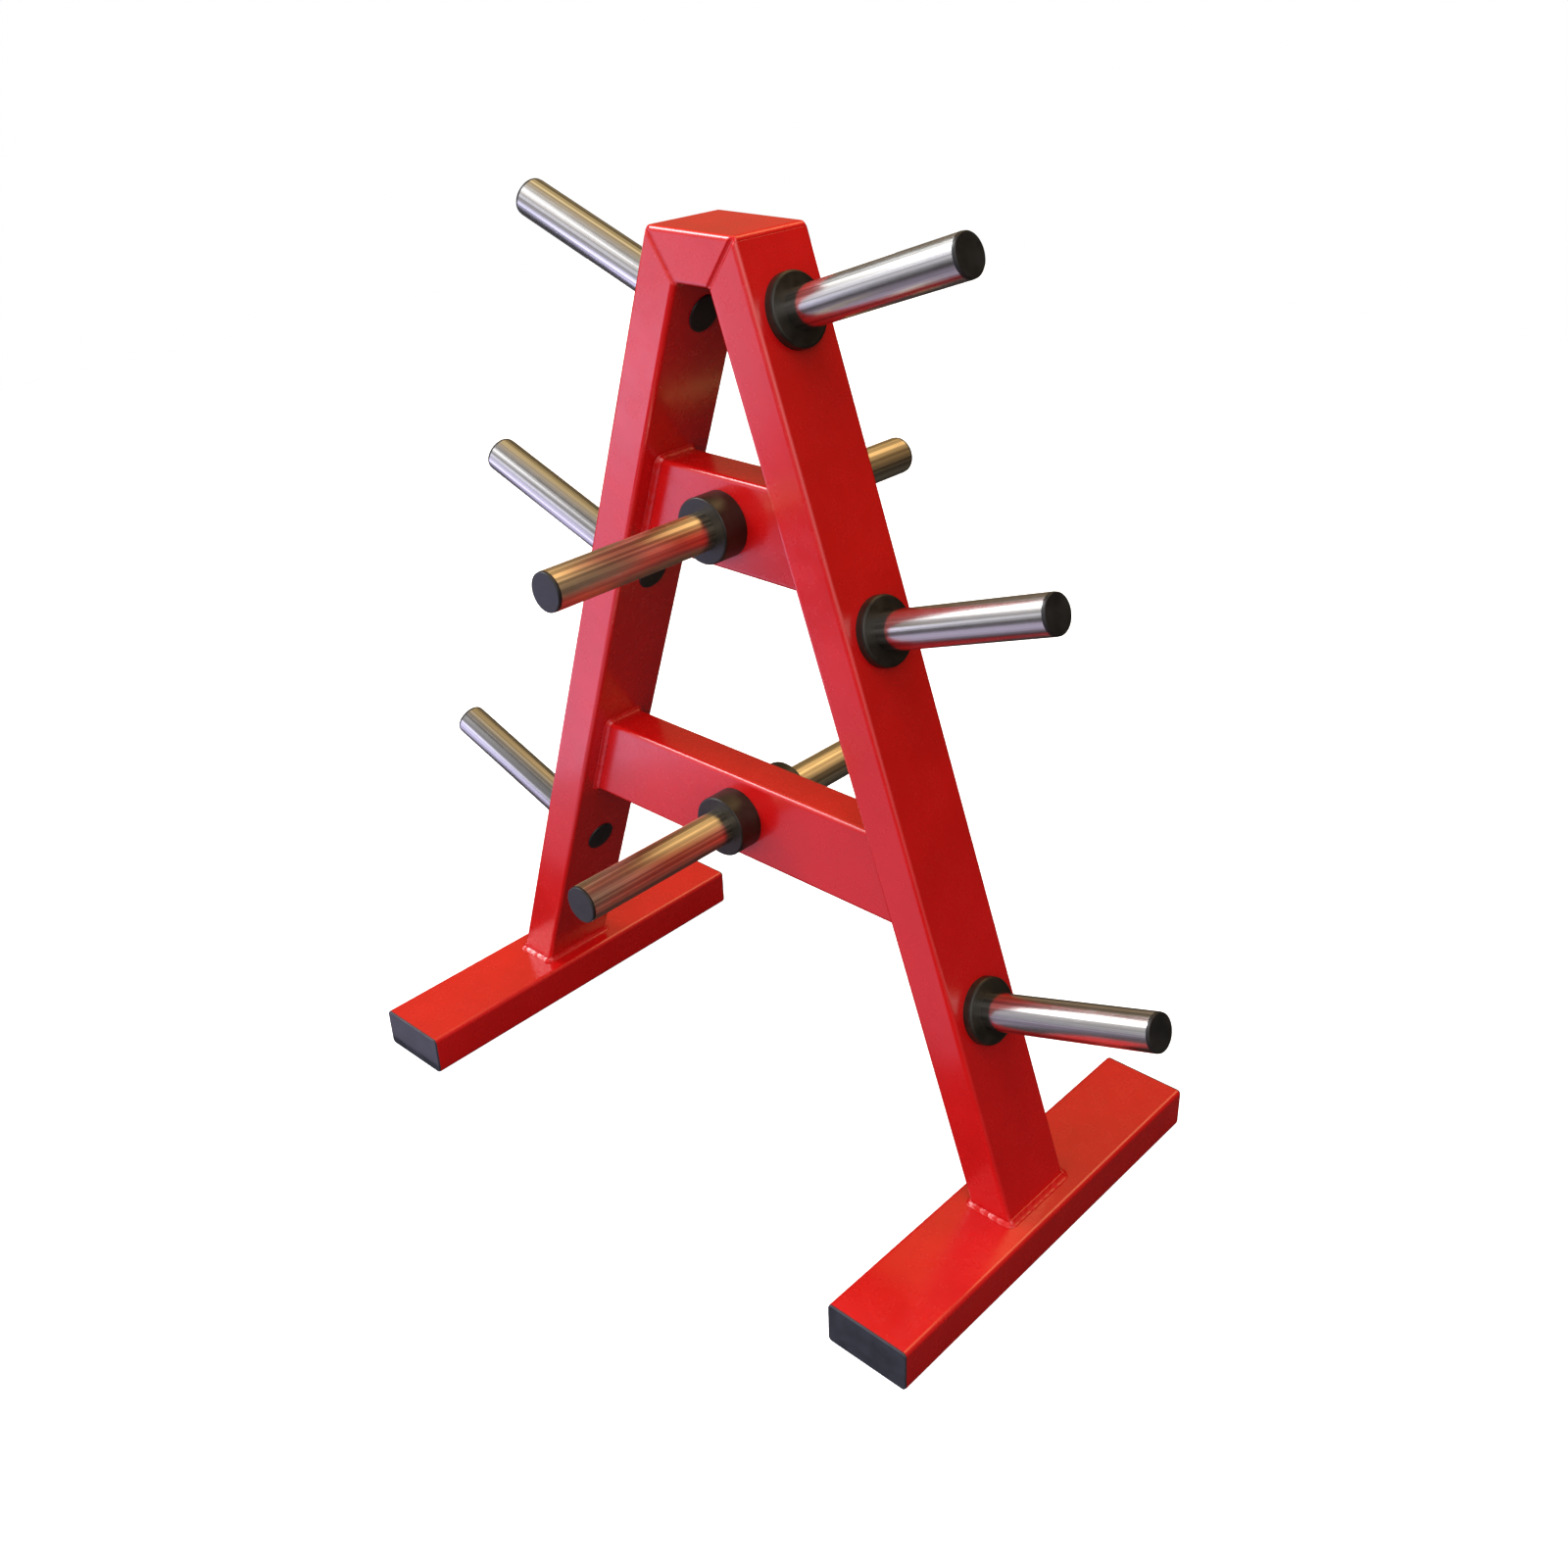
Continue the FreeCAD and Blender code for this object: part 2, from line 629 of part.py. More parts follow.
def make_foot_cap(side, side_turn, end):
    """A push-in cap: a thin flange over the tube's end, and a hollow box inside the tube."""
    body = new_body(f"{side}_{end}_foot_cap")
    face = sketch_on(body, "XY_Plane", "flange_outline")
    add_rounded_rectangle(face, "flange", "Sizes.tube_wide - 2 * Sizes.cap_inset",
                          "Sizes.tube_narrow - 2 * Sizes.cap_inset", "Sizes.tube_corner - Sizes.cap_inset")
    pad(body, "flange", face, "Sizes.cap_flange")
    box = sketch_on(body, "XY_Plane", "box_section")
    gap = "2 * (Sizes.tube_wall + Sizes.cap_slack)"
    corner = "Sizes.tube_corner - Sizes.tube_wall - Sizes.cap_slack"
    add_rounded_rectangle(box, "outer", f"Sizes.tube_wide - {gap}", f"Sizes.tube_narrow - {gap}", corner)
    hollow = f"({gap} + 2 * Sizes.cap_wall)"
    add_rounded_rectangle(box, "inner", f"Sizes.tube_wide - {hollow}",
                          f"Sizes.tube_narrow - {hollow}", "Sizes.cap_inner_corner")
    shell = pad(body, "box", box, "Sizes.cap_depth", backwards=True)
    fillet_rim(body, shell, "Sizes.cap_flange", "Sizes.cap_flange_round")
    forward = -1 if end == "front" else 1
    centre = Vector(size("foot_centre"), forward * size("foot_length") / 2, size("tube_narrow") / 2)
    if side_turn == LEFT:
        centre.x = -centre.x
    body.Placement = Placement(centre, Rotation(Vector(1, 0, 0), -forward * 90))
    return body


# ---------------------------------------------------------------- assembly


def make_rack():
    parts = [make_top_bar(), make_mitre_welds(), make_foot_welds()]
    for side, turn in SIDES:
        parts += [make_foot(side, turn), make_leg(side, turn)]
        parts += [make_foot_cap(side, turn, end) for end, _ in ENDS]
        for place in LEG_HORNS:
            parts += make_leg_horn(side, turn, place)
    for level in BEAMS:
        parts += [make_beam(level), make_beam_welds(level)]
        parts += make_beam_horns(level)
    return parts


def check(parts):
    for item in doc.Objects:
        if "Invalid" in item.State or "Error" in item.State:
            raise RuntimeError(f"{item.Label} failed to recompute: {item.State}")
    for part in parts:
        shape = part.Shape
        if shape.isNull() or not shape.isValid() or not shape.Solids:
            raise RuntimeError(f"{part.Label} has no valid solid")


parts = make_rack()
doc.recompute()
check(parts)
os.makedirs("parts", exist_ok=True)
for part in parts:
    part.Shape.exportStep(f"parts/{part.Label}.step")
print(f"{len(parts)} sub-parts written")
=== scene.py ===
"""Looks of the weight plate storage rack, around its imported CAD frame.

Metres, +Z up, the front faces -Y. The CAD nodes keep their shapes and get a painted, bright steel,
rubber or plastic material. Only the weld metal is rebuilt, as beads with ripples.
"""
import json
import math
import random

import bmesh
import bpy
from mathutils import Matrix, Vector


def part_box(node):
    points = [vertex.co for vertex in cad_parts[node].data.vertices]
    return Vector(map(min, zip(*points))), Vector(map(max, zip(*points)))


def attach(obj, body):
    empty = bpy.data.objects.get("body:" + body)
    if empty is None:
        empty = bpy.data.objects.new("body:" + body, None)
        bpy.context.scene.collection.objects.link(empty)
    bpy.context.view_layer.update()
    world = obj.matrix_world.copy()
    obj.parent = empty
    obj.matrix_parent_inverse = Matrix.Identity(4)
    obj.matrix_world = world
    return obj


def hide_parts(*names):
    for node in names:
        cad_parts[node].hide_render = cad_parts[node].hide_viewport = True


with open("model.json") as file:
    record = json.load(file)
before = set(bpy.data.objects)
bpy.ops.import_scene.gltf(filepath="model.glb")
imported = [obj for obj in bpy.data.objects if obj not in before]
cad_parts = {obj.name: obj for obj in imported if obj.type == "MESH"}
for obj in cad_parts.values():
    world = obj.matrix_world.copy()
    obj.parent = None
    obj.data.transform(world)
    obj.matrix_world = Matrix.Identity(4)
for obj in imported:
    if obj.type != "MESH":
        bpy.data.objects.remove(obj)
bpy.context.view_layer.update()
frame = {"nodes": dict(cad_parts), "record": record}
nodes = frame["nodes"]
scene = bpy.context.scene

X_AXIS, Y_AXIS, Z_AXIS = Vector((1, 0, 0)), Vector((0, 1, 0)), Vector((0, 0, 1))
QUARTER_TURN = math.pi / 2
HALF_TURN = Matrix.Rotation(math.pi, 3, "Z")
LEG_ANGLE = math.radians(19.5)
LEG_DOWN = Vector((math.sin(LEG_ANGLE), 0, -math.cos(LEG_ANGLE)))
LEG_OUT = Vector((math.cos(LEG_ANGLE), 0, math.sin(LEG_ANGLE)))


# ---------------------------------------------------------------- camera

CAMERA_PLACE = Vector((1.3120, -1.3189, 1.5315))
CAMERA_TARGET = Vector((0.0576, 0.0, 0.5239))
CAMERA_ROLL = 0.0376
CAMERA_LENS = 36.64
SENSOR_WIDTH = 36.0
VIEW_DISTANCE = 100.0


def make_camera():
    data = bpy.data.cameras.new("camera")
    data.lens = CAMERA_LENS
    data.sensor_width = SENSOR_WIDTH
    data.clip_end = VIEW_DISTANCE
    camera = bpy.data.objects.new("camera", data)
    scene.collection.objects.link(camera)
    view = (CAMERA_TARGET - CAMERA_PLACE).normalized()
    right = view.cross(Z_AXIS).normalized()
    down = view.cross(right)
    rolled_right = math.cos(CAMERA_ROLL) * right + math.sin(CAMERA_ROLL) * down
    rolled_down = -math.sin(CAMERA_ROLL) * right + math.cos(CAMERA_ROLL) * down
    axes = Matrix((rolled_right, -rolled_down, -view)).transposed()
    camera.matrix_world = Matrix.Translation(CAMERA_PLACE) @ axes.to_4x4()
    scene.camera = camera


# ---------------------------------------------------------------- node helpers

# the colour sockets of a Mix node
MIX_FIRST, MIX_SECOND, MIX_RESULT = 6, 7, 2


class Nodes:
    """A short way to build a node tree."""

    def __init__(self, tree):
        self.tree = tree
        tree.nodes.clear()

    def add(self, kind, inputs=None, **settings):
        """A new node. Its inputs are constants or sockets, by name or number."""
        node = self.tree.nodes.new(kind)
        for name, value in settings.items():
            setattr(node, name, value)
        for name, value in (inputs or {}).items():
            if isinstance(value, bpy.types.NodeSocket):
                self.tree.links.new(value, node.inputs[name])
            else:
                node.inputs[name].default_value = value
        return node

    def math(self, operation, a, b):
        return self.add("ShaderNodeMath", {0: a, 1: b}, operation=operation).outputs[0]

    def vector(self, operation, inputs, output="Vector"):
        return self.add("ShaderNodeVectorMath", inputs, operation=operation).outputs[output]

    def remap(self, value, low, high, to_low=0.0, to_high=1.0):
        inputs = {"Value": value, "From Min": low, "From Max": high}
        inputs.update({"To Min": to_low, "To Max": to_high})
        return self.add("ShaderNodeMapRange", inputs).outputs["Result"]

    def mix(self, share, a, b):
        inputs = {"Factor": share, MIX_FIRST: a, MIX_SECOND: b}
        return self.add("ShaderNodeMix", inputs, data_type="RGBA").outputs[MIX_RESULT]

    def noise(self, place, scale, detail, roughness):
        inputs = {"Vector": place, "Scale": scale, "Detail": detail, "Roughness": roughness}
        return self.add("ShaderNodeTexNoise", inputs).outputs["Fac"]

    def drawn_noise(self, place, along, across, detail):
        """Noise in long lines along X, with so many features a metre along and across them."""
        inputs = {"Vector": place, "Scale": (along, across, across)}
        stretched = self.add("ShaderNodeMapping", inputs).outputs[0]
        return self.noise(stretched, scale=1.0, detail=detail, roughness=0.5)

    def object_place(self, turn=(0, 0, 0)):
        place = self.add("ShaderNodeTexCoord").outputs["Object"]
        return self.add("ShaderNodeMapping", {"Vector": place, "Rotation": turn}).outputs[0]

    def bump(self, height, distance):
        return self.add("ShaderNodeBump", {"Height": height, "Distance": distance}).outputs[0]

    def for_camera(self, hidden, seen):
        """The shader `seen` for what the camera sees itself, `hidden` for all other rays."""
        camera_ray = self.add("ShaderNodeLightPath").outputs["Is Camera Ray"]
        inputs = {0: camera_ray, 1: hidden.outputs[0], 2: seen.outputs[0]}
        return self.add("ShaderNodeMixShader", inputs)

    def finish(self, shader, kind="ShaderNodeOutputMaterial"):
        self.add(kind, {"Surface": shader.outputs[0]})


def new_material(name):
    material = bpy.data.materials.new(name)
    material.use_nodes = True
    return material, Nodes(material.node_tree)


# ---------------------------------------------------------------- stage and light

WHITE = (1.0, 1.0, 1.0, 1.0)
FLOOR_HALF = 5.0
FLOOR_BOUNCE = (0.036, 0.036, 0.036, 1.0)
FLOOR_SEEN = (0.93, 0.93, 0.93, 1.0)
FLOOR_GLOW = 0.85

# glow of the room by direction: middle of the lobe, sharpness, colour
ROOM = (
    ((-0.51, -0.60, 0.61), 110.0, (3.0, 3.0, 3.1)),
    ((-0.72, -0.28, 0.63), 60.0, (17.0, 17.2, 17.5)),
    ((-0.44, 0.00, 0.90), 14.0, (0.44, 0.37, 0.29)),
    ((-0.72, -0.64, 0.20), 7.0, (0.70, 0.69, 0.75)),
    ((-0.47, 0.36, 0.80), 20.0, (0.88, 0.64, 0.27)),
    ((0.05, 0.61, 0.79), 34.0, (4.2, 2.7, 1.25)),
    ((-0.70, 0.70, 0.12), 12.0, (0.22, 0.15, 0.08)),
    ((0.75, 0.62, 0.30), 8.0, (0.10, 0.06, 0.03)),
    ((0.72, -0.40, 0.62), 6.0, (2.4, 2.3, 2.2)),
)

# area lights: `spin` turns one about the vertical, and only mirrored ones show in reflections
LIGHTS = (
    dict(
        name="low_daylight", place=(-2.6, -1.9, 0.50), target=(0, 0, 0.6), spin=0.0,
        size=(1.6, 1.0), power=6, colour=(0.70, 0.70, 1.0), mirrored=True,
    ),
    dict(
        name="floor_glow", place=(-2.67, -1.93, 0.01), target=(-2.67, -1.93, 1.0), spin=0.76,
        size=(4.4, 1.1), power=23, colour=(0.68, 0.64, 1.0), mirrored=True,
    ),
    dict(
        name="near_glow", place=(-0.41, -0.96, 0.01), target=(-0.41, -0.96, 1.0), spin=0.0,
        size=(1.22, 1.3), power=2.44, colour=(0.80, 0.70, 1.0), mirrored=True,
    ),
    dict(
        name="front_fill", place=(0.0, -3.6, 1.4), target=(0, 0, 0.6), spin=0.0,
        size=(3.0, 2.4), power=105, colour=(0.79, 0.79, 1.0), mirrored=False,
    ),
    dict(
        name="overhead", place=(0.2, -0.2, 3.0), target=(0, 0, 0.4), spin=0.0,
        size=(1.8, 1.8), power=30, colour=(1.0, 0.99, 0.98), mirrored=False,
    ),
)


def make_world():
    world = bpy.data.worlds.new("studio")
    scene.world = world
    world.use_nodes = True
    n = Nodes(world.node_tree)
    direction = n.add("ShaderNodeTexCoord").outputs["Generated"]
    room = None
    for middle, sharpness, colour in ROOM:
        towards = {0: direction, 1: Vector(middle).normalized()}
        closeness = n.vector("DOT_PRODUCT", towards, output="Value")
        share = n.math("POWER", n.math("MAXIMUM", closeness, 0.0), sharpness)
        lobe = n.vector("SCALE", {0: colour, "Scale": share})
        room = lobe if room is None else n.vector("ADD", {0: room, 1: lobe})
    lit = n.add("ShaderNodeBackground", {"Color": room, "Strength": 1.0})
    seen = n.add("ShaderNodeBackground", {"Color": WHITE, "Strength": 1.0})
    n.finish(n.for_camera(lit, seen), "ShaderNodeOutputWorld")


def make_floor():
    mesh = bpy.data.meshes.new("floor")
    corners = ((-1, -1), (1, -1), (1, 1), (-1, 1))
    places = [(x * FLOOR_HALF, y * FLOOR_HALF, 0) for x, y in corners]
    mesh.from_pydata(places, [], [(0, 1, 2, 3)])
    floor = bpy.data.objects.new("floor", mesh)
    scene.collection.objects.link(floor)
    material, n = new_material("pale_floor")
    bounce = n.add("ShaderNodeBsdfDiffuse", {"Color": FLOOR_BOUNCE})
    seen = n.add("ShaderNodeBsdfDiffuse", {"Color": FLOOR_SEEN})
    glow = n.add("ShaderNodeEmission", {"Color": WHITE, "Strength": FLOOR_GLOW})
    pale = n.add("ShaderNodeAddShader", {0: seen.outputs[0], 1: glow.outputs[0]})
    n.finish(n.for_camera(bounce, pale))
    mesh.materials.append(material)


def area_light(name, place, target, spin, size, power, colour, mirrored):
    data = bpy.data.lights.new(name, "AREA")
    data.shape = "RECTANGLE"
    data.size, data.size_y = size
    data.energy = power
    data.color = colour
    light = bpy.data.objects.new(name, data)
    scene.collection.objects.link(light)
    light.location = place
    aim = (Vector(target) - Vector(place)).to_track_quat("-Z", "Y")
    light.rotation_euler = (Matrix.Rotation(spin, 3, "Z") @ aim.to_matrix()).to_euler()
    light.visible_camera = False
    light.visible_glossy = mirrored


# ---------------------------------------------------------------- materials

# noise patterns: features a metre, octaves, strength of the finer octaves
PAINT_CLOUDS = dict(scale=9.0, detail=4.0, roughness=0.55)
PAINT_SMUDGES = dict(scale=38.0, detail=5.0, roughness=0.6)
ORANGE_PEEL = dict(scale=150.0, detail=0.0, roughness=0.5)
BRIGHT_WEAR = dict(scale=45.0, detail=3.0, roughness=0.6)
RUBBER_DUST = dict(scale=60.0, detail=4.0, roughness=0.6)
RUBBER_GRAIN = dict(scale=900.0, detail=3.0, roughness=0.6)
PLASTIC_TONE = dict(scale=45.0, detail=4.0, roughness=0.6)
PLAIN_TONE = dict(scale=60.0, detail=5.0, roughness=0.6)

# patterns drawn out along a horn: features a metre along and across it, octaves
DRAWN_LINES = dict(along=0.8, across=330.0, detail=1.0)
DRAWN_BANDS = dict(along=0.4, across=170.0, detail=0.0)
DRAWN_WAVES = dict(along=0.4, across=80.0, detail=0.0)

# dark and light ends of each tone
PAINT_REDS = ((0.49, 0.0030, 0.0030, 1.0), (0.57, 0.0045, 0.0045, 1.0))
COOL_STEEL = ((0.42, 0.405, 0.38, 1.0), (0.81, 0.80, 0.78, 1.0))
# the beam horns' steel is tinted gold: a painted reflection of a warm room, which the leg horns'
# steel does not have
STEEL_TINTED_WITH_PAINTED_GOLD_REFLECTION = ((0.44, 0.40, 0.32, 1.0), (0.88, 0.80, 0.62, 1.0))
PLAIN_STEEL = ((0.28, 0.27, 0.26, 1.0), (0.40, 0.39, 0.38, 1.0))
RUBBER_BLACKS = ((0.009, 0.0065, 0.004, 1.0), (0.020, 0.015, 0.009, 1.0))
PLASTIC_BLACKS = ((0.009, 0.0085, 0.008, 1.0), (0.018, 0.017, 0.016, 1.0))
PLASTIC_GREYS = ((0.026, 0.027, 0.033, 1.0), (0.042, 0.043, 0.053, 1.0))

PAINT_COAT = 0.4
PAINT_COAT_ROUGHNESS = 0.14
PAINT_IOR = 1.6
LEG_HORN_ROUGHNESS = 0.21
BEAM_HORN_ROUGHNESS = 0.36
LINE_ROUGHNESS = 0.02
WEAR_ROUGHNESS = 0.03
DRAWN_ANISOTROPY = 0.85

# heights of the bumps, the plastic's as a share of its grain size
PEEL_HEIGHT = 0.00002
WAVE_HEIGHT = 0.00001
RUBBER_GRAIN_HEIGHT = 0.00008
PLAIN_STEEL_HEIGHT = 0.00005
PLASTIC_GRAIN_SHARE = 0.08


def finish_material(n, inputs):
    n.finish(n.add("ShaderNodeBsdfPrincipled", inputs))


def red_paint():
    """Powder coat with slow clouds of tone, smudges in its gloss and a soft orange peel."""
    material, n = new_material("red_powder_coat")
    place = n.object_place()
    tone = n.remap(n.noise(place, **PAINT_CLOUDS), 0.3, 0.7)
    inputs = {
        "Base Color": n.mix(tone, *PAINT_REDS),
        "Roughness": n.remap(n.noise(place, **PAINT_SMUDGES), 0.35, 0.7, 0.22, 0.31),
        "Coat Weight": PAINT_COAT,
        "Coat Roughness": PAINT_COAT_ROUGHNESS,
        "IOR": PAINT_IOR,
        "Normal": n.bump(n.noise(place, **ORANGE_PEEL), PEEL_HEIGHT),
    }
    finish_material(n, inputs)
    return material


def bright_steel(name, axis, turn, rough, colours):
    """Tube drawn along `axis`, which `turn` brings to X. Its lines blur reflections crosswise."""
    material, n = new_material(name)
    place = n.object_place(turn)
    lines = n.drawn_noise(place, **DRAWN_LINES)
    bands = n.drawn_noise(place, **DRAWN_BANDS)
    waves = n.drawn_noise(place, **DRAWN_WAVES)
    streak = n.remap(n.math("ADD", lines, bands), 0.82, 1.18)
    wear = n.remap(n.noise(place, **BRIGHT_WEAR), 0.45, 0.75, 0.0, WEAR_ROUGHNESS)
    drawn = n.remap(lines, 0.3, 0.7, rough - LINE_ROUGHNESS, rough + LINE_ROUGHNESS)
    normal = n.add("ShaderNodeNewGeometry").outputs["Normal"]
    inputs = {
        "Base Color": n.mix(streak, *colours),
        "Metallic": 1.0,
        "Roughness": n.math("ADD", drawn, wear),
        "Anisotropic": DRAWN_ANISOTROPY,
        "Tangent": n.vector("CROSS_PRODUCT", {0: axis, 1: normal}),
        "Normal": n.bump(waves, WAVE_HEIGHT),
    }
    finish_material(n, inputs)
    return material


def rubber():
    """Matt black with a fine grain, dustier in patches."""
    material, n = new_material("black_rubber")
    place = n.object_place()
    dust = n.remap(n.noise(place, **RUBBER_DUST), 0.4, 0.75)
    inputs = {
        "Base Color": n.mix(dust, *RUBBER_BLACKS),
        "Roughness": n.remap(dust, 0.0, 1.0, 0.36, 0.50),
        "Normal": n.bump(n.noise(place, **RUBBER_GRAIN), RUBBER_GRAIN_HEIGHT),
    }
    finish_material(n, inputs)
    return material


def plastic(name, colours, roughness, grain_size):
    """Moulded plastic: colours and roughness go from dark and smooth to light and dull."""
    material, n = new_material(name)
    place = n.object_place()
    tone = n.remap(n.noise(place, **PLASTIC_TONE), 0.35, 0.7)
    grain = n.noise(place, scale=1.0 / grain_size, detail=2.0, roughness=0.5)
    inputs = {
        "Base Color": n.mix(tone, *colours),
        "Roughness": n.remap(tone, 0.0, 1.0, *roughness),
        "Normal": n.bump(grain, grain_size * PLASTIC_GRAIN_SHARE),
    }
    finish_material(n, inputs)
    return material


def plain_steel():
    """Bare tube, for the stubs that the horns hide."""
    material, n = new_material("plain_steel")
    tone = n.remap(n.noise(n.object_place(), **PLAIN_TONE), 0.3, 0.7)
    inputs = {
        "Base Color": n.mix(tone, *PLAIN_STEEL),
        "Metallic": 1.0,
        "Roughness": n.remap(tone, 0.0, 1.0, 0.35, 0.5),
        "Normal": n.bump(tone, PLAIN_STEEL_HEIGHT),
    }
    finish_material(n, inputs)
    return material


def horn_steels():
    """The finish of each horn, by the first word of its name."""
    left_axis = (-LEG_OUT.x, 0, LEG_OUT.z)
    left = bright_steel(
        "bright_steel_left", left_axis, (0, -LEG_ANGLE, 0), LEG_HORN_ROUGHNESS, COOL_STEEL
    )
    right = bright_steel(
        "bright_steel_right", LEG_OUT, (0, LEG_ANGLE, 0), LEG_HORN_ROUGHNESS, COOL_STEEL
    )
    # the front and rear horns get steel whose colour holds a painted gold reflection
    beam = bright_steel(
        "bright_steel_beam_painted_gold_reflection", Y_AXIS, (0, 0, QUARTER_TURN), BEAM_HORN_ROUGHNESS, STEEL_TINTED_WITH_PAINTED_GOLD_REFLECTION
    )
    return {"left": left, "right": right, "front": beam, "rear": beam}


def paint_nodes():
    """Give every CAD node its finish, and return the red paint for the beads."""
    slots = {part["node"]: part["material_slot"] for part in frame["record"]["subparts"]}
    steels = horn_steels()
    finishes = {
        "red_paint": red_paint(),
        "rubber": rubber(),
        "black_plastic": plastic(
            "black_plastic", PLASTIC_BLACKS, roughness=(0.34, 0.48), grain_size=0.0006
        ),
        "grey_plastic": plastic(
            "grey_plastic", PLASTIC_GREYS, roughness=(0.32, 0.42), grain_size=0.0007
        ),
        "plain_steel": plain_steel(),
    }
    for name, node in nodes.items():
        slot = slots[name]
        material = steels[name.split("_")[0]] if slot == "bright_steel" else finishes[slot]
        node.data.materials.clear()
        node.data.materials.append(material)
    return finishes["red_paint"]


# ---------------------------------------------------------------- weld beads

TUBE_WIDE = 0.120
TUBE_NARROW = 0.060
TUBE_CORNER = 0.006

STEP = 0.0008
CORNER_STEPS = round(TUBE_CORNER * QUARTER_TURN / STEP)

# ripples: spacing, how far they stray from it as a share of it, their heights, their crest
RIPPLE_PITCH = 0.013
FINE_PITCH = 0.0021
RIPPLE_STRAY = 0.16
RIPPLE_HEIGHTS = (0.45, 1.25)
CREST_SHARPNESS = 1.5

# beads round the ends of legs and beams
WELD_LEG = 0.0070
WELD_TOE = 0.94
WELD_TOE_SWELL = 0.16
WELD_HOLLOW = 0.75
WELD_SINK = 0.0010
WELD_EDGE_SINK = 0.4
WELD_BULGE = 0.0005
WELD_RIPPLE = 0.0016
WELD_FINE_RIPPLE = 0.00007
WELD_LAG = 0.45
WELD_FADE = 2.5
WELD_ACROSS = 10

# strength of a bead's ripples, and how high it climbs as a share of its reach
FOOT_END_FORM = (1.2, 0.55)
FOOT_SIDE_FORM = (0.45, 1.0)
BEAM_FORM = (0.5, 1.0)

# beads in the mitres
MITRE_REACH = 0.0056
MITRE_DEPTH = 0.0054
MITRE_SINK = 0.00006
MITRE_BACK = 0.0056
MITRE_RIPPLE = 0.00015
MITRE_LAG = 0.4
MITRE_ACROSS = 14


def tube_outline(across, up):
    """Points (a, b) round a rounded rectangle, each with its outward direction."""
    points = []
    half_a, half_b = across / 2 - TUBE_CORNER, up / 2 - TUBE_CORNER
    corners = ((1, 1), (-1, 1), (-1, -1), (1, -1))
    for i, (side_a, side_b) in enumerate(corners):
        a, b = side_a * half_a, side_b * half_b
        for j in range(CORNER_STEPS + 1):
            turn = QUARTER_TURN * (i + j / CORNER_STEPS)
            out_a, out_b = math.cos(turn), math.sin(turn)
            points.append((a + TUBE_CORNER * out_a, b + TUBE_CORNER * out_b, out_a, out_b))
        next_a, next_b = corners[(i + 1) % 4]
        start = (a + TUBE_CORNER * out_a, b + TUBE_CORNER * out_b)
        end = (next_a * half_a + TUBE_CORNER * out_a, next_b * half_b + TUBE_CORNER * out_b)
        count = round(math.dist(start, end) / STEP)
        for j in range(1, count):
            share = j / count
            between = [p + (q - p) * share for p, q in zip(start, end)]
            points.append((*between, out_a, out_b))
    return points


def running_lengths(places):
    """How far along a closed loop each place is, and last the whole length."""
    runs = [0.0]
    for here, after in zip(places, places[1:] + places[:1]):
        runs.append(runs[-1] + (after - here).length)
    return runs


def ripples(length, pitch, chance):
    """The places of the ripples along a bead, with each one's height as a share."""
    count = round(length / pitch)
    stray = [chance.uniform(-RIPPLE_STRAY, RIPPLE_STRAY) for _ in range(count)]
    spots = [(i + stray[i]) * length / count for i in range(count)]
    heights = [chance.uniform(*RIPPLE_HEIGHTS) for _ in range(count)]
    return spots, heights


def ripple_height(at, length, spots, heights):
    """The height at one place of a row of round scales."""
    best = 0.0
    pitch = length / len(spots)
    for spot, height in zip(spots, heights):
        gap = (at - spot + length / 2) % length - length / 2
        if abs(gap) < pitch:
            best = max(best, height * math.cos(gap / pitch * math.pi / 2) ** CREST_SHARPNESS)
    return best


def facing(direction, side):
    """The direction or its opposite, whichever goes to that side."""
    return -direction if direction.dot(side) < 0 else direction


def add_bead(mesh, stations, form_at, seed):
    """One closed bead along a loop of stations.

    A station is a place, the tube's outward direction, and the direction off the plate.
    """
    chance = random.Random(seed)
    places = [place for place, _, _ in stations]
    runs = running_lengths(places)
    length = runs[-1]
    coarse = ripples(length, RIPPLE_PITCH, chance)
    fine = ripples(length, FINE_PITCH, chance)
    rings = []
    for i, (place, out, off) in enumerate(stations):
        along = (places[(i + 1) % len(places)] - places[i - 1]).normalized()
        flat = facing(along.cross(off).normalized(), out)
        wall = facing(along.cross(out).normalized(), off)
        middle = (flat + wall).normalized()
        lump, rise = form_at(out)
        swell = WELD_TOE_SWELL * lump * ripple_height(runs[i], length, *coarse)
        toe = WELD_LEG * (WELD_TOE + swell)
        ring = [place - WELD_SINK * (flat + wall)]
        for j in range(WELD_ACROSS + 1):
            share = j / WELD_ACROSS
            arch = 4 * share * (1 - share)
            at = runs[i] + WELD_LAG * RIPPLE_PITCH * arch
            height = WELD_RIPPLE * lump * ripple_height(at, length, *coarse)
            height += WELD_FINE_RIPPLE * ripple_height(at, length, *fine)
            straight = (1 - share) * flat + share * rise * wall
            hollow = (1 - share) ** 2 * flat + share**2 * rise * wall
            point = place + toe * straight.lerp(hollow, WELD_HOLLOW)
            if j in (0, WELD_ACROSS):
                point -= middle * WELD_SINK * WELD_EDGE_SINK
            ring.append(point + middle * (WELD_BULGE * arch + height * min(1.0, WELD_FADE * arch)))
        rings.append([mesh.verts.new(point) for point in ring])
    close_rings(mesh, rings)


